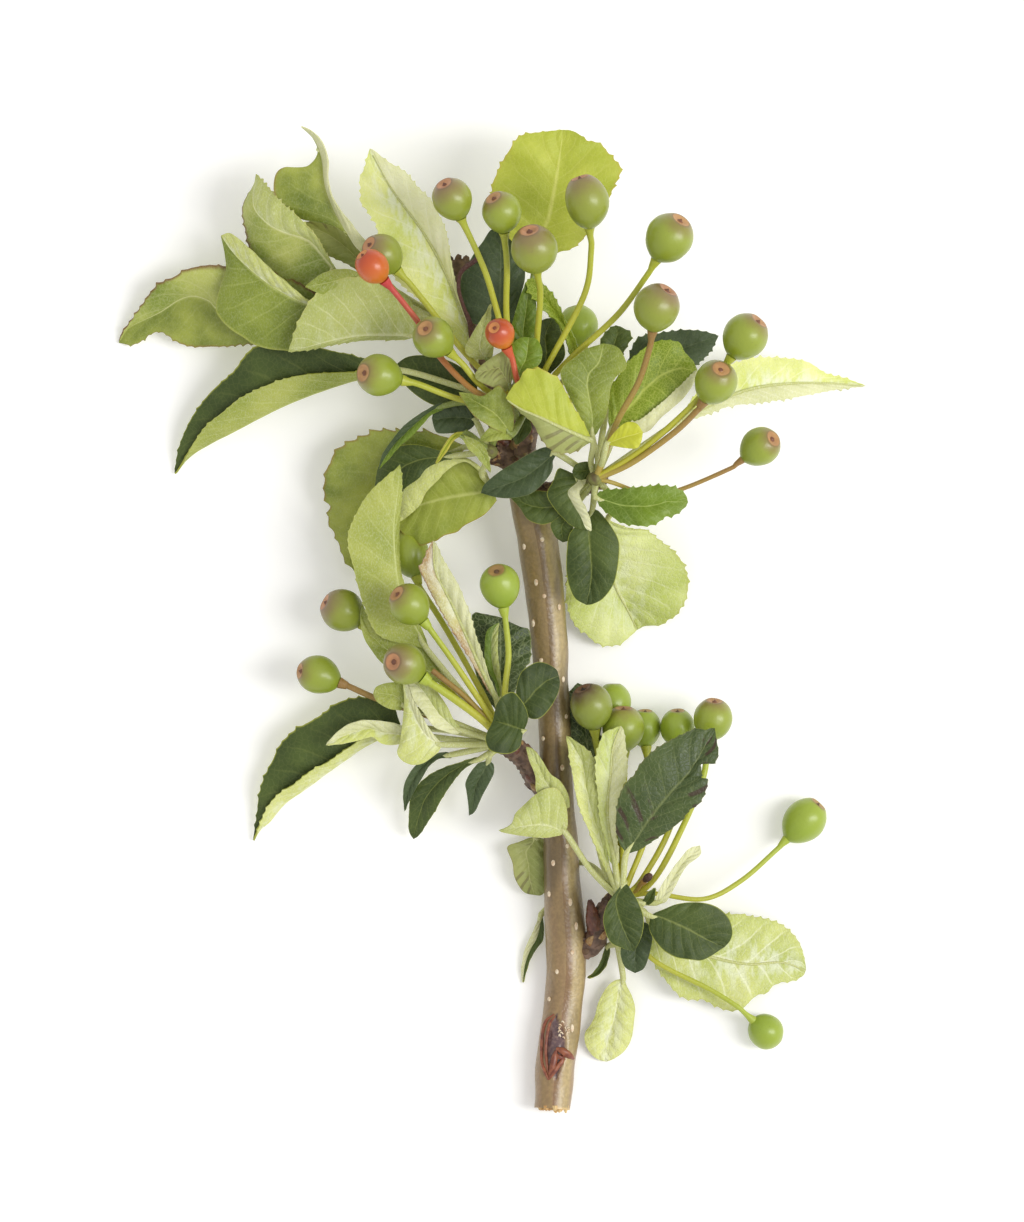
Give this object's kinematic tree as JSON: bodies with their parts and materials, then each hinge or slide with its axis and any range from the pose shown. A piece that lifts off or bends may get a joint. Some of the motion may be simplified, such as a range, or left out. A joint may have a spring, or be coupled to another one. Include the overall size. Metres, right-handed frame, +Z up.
{
  "type": "crabapple branch",
  "caption": "Cut crabapple branch lying on a surface: a woody stem with short spurs, sprays of green leaves, and small green fruit on long pedicels.",
  "frame": {"origin": "centre of the small flat spot under the lower stem, on the surface that the branch lies on", "axes": "+Y from the cut end of the stem towards the branch's tip, +X to the right seen from above, +Z up from the surface"},
  "size_m": [0.15, 0.1968, 0.0455],
  "materials": {
    "bark": "smooth olive-brown bark with pale lenticels",
    "dark_leaf": "dark green upper side, satin",
    "pale_leaf": "pale green, finely hairy underside",
    "bright_leaf": "bright yellow-green, satin",
    "green_fruit": "smooth green skin with a soft gloss and an orange-brown calyx",
    "red_fruitlet": "orange-red, withering",
    "dry_stalk": "dry dark red-brown"
  },
  "bodies": {
    "root": {"branch_wood": "bark", "top_leaves": "pale_leaf", "crown_dark_leaves": "dark_leaf", "crown_pale_leaves": "pale_leaf", "crown_fruit": "green_fruit", "crown_red_fruitlets": "red_fruitlet", "crown_dried_stalk": "dry_stalk", "right_dark_leaves": "dark_leaf", "right_pale_leaves": "bright_leaf", "right_fruit": "green_fruit", "left_broad_leaf": "bright_leaf", "left_dark_leaves": "dark_leaf", "left_pale_leaves": "pale_leaf", "middle_dark_leaves": "dark_leaf", "middle_low_fruit": "green_fruit", "middle_pale_leaves": "pale_leaf", "middle_fruit": "green_fruit", "middle_round_leaves": "dark_leaf", "lower_fruit": "green_fruit", "lower_pale_leaves": "pale_leaf", "lower_dark_leaves": "dark_leaf"}
  },
  "joints": []
}
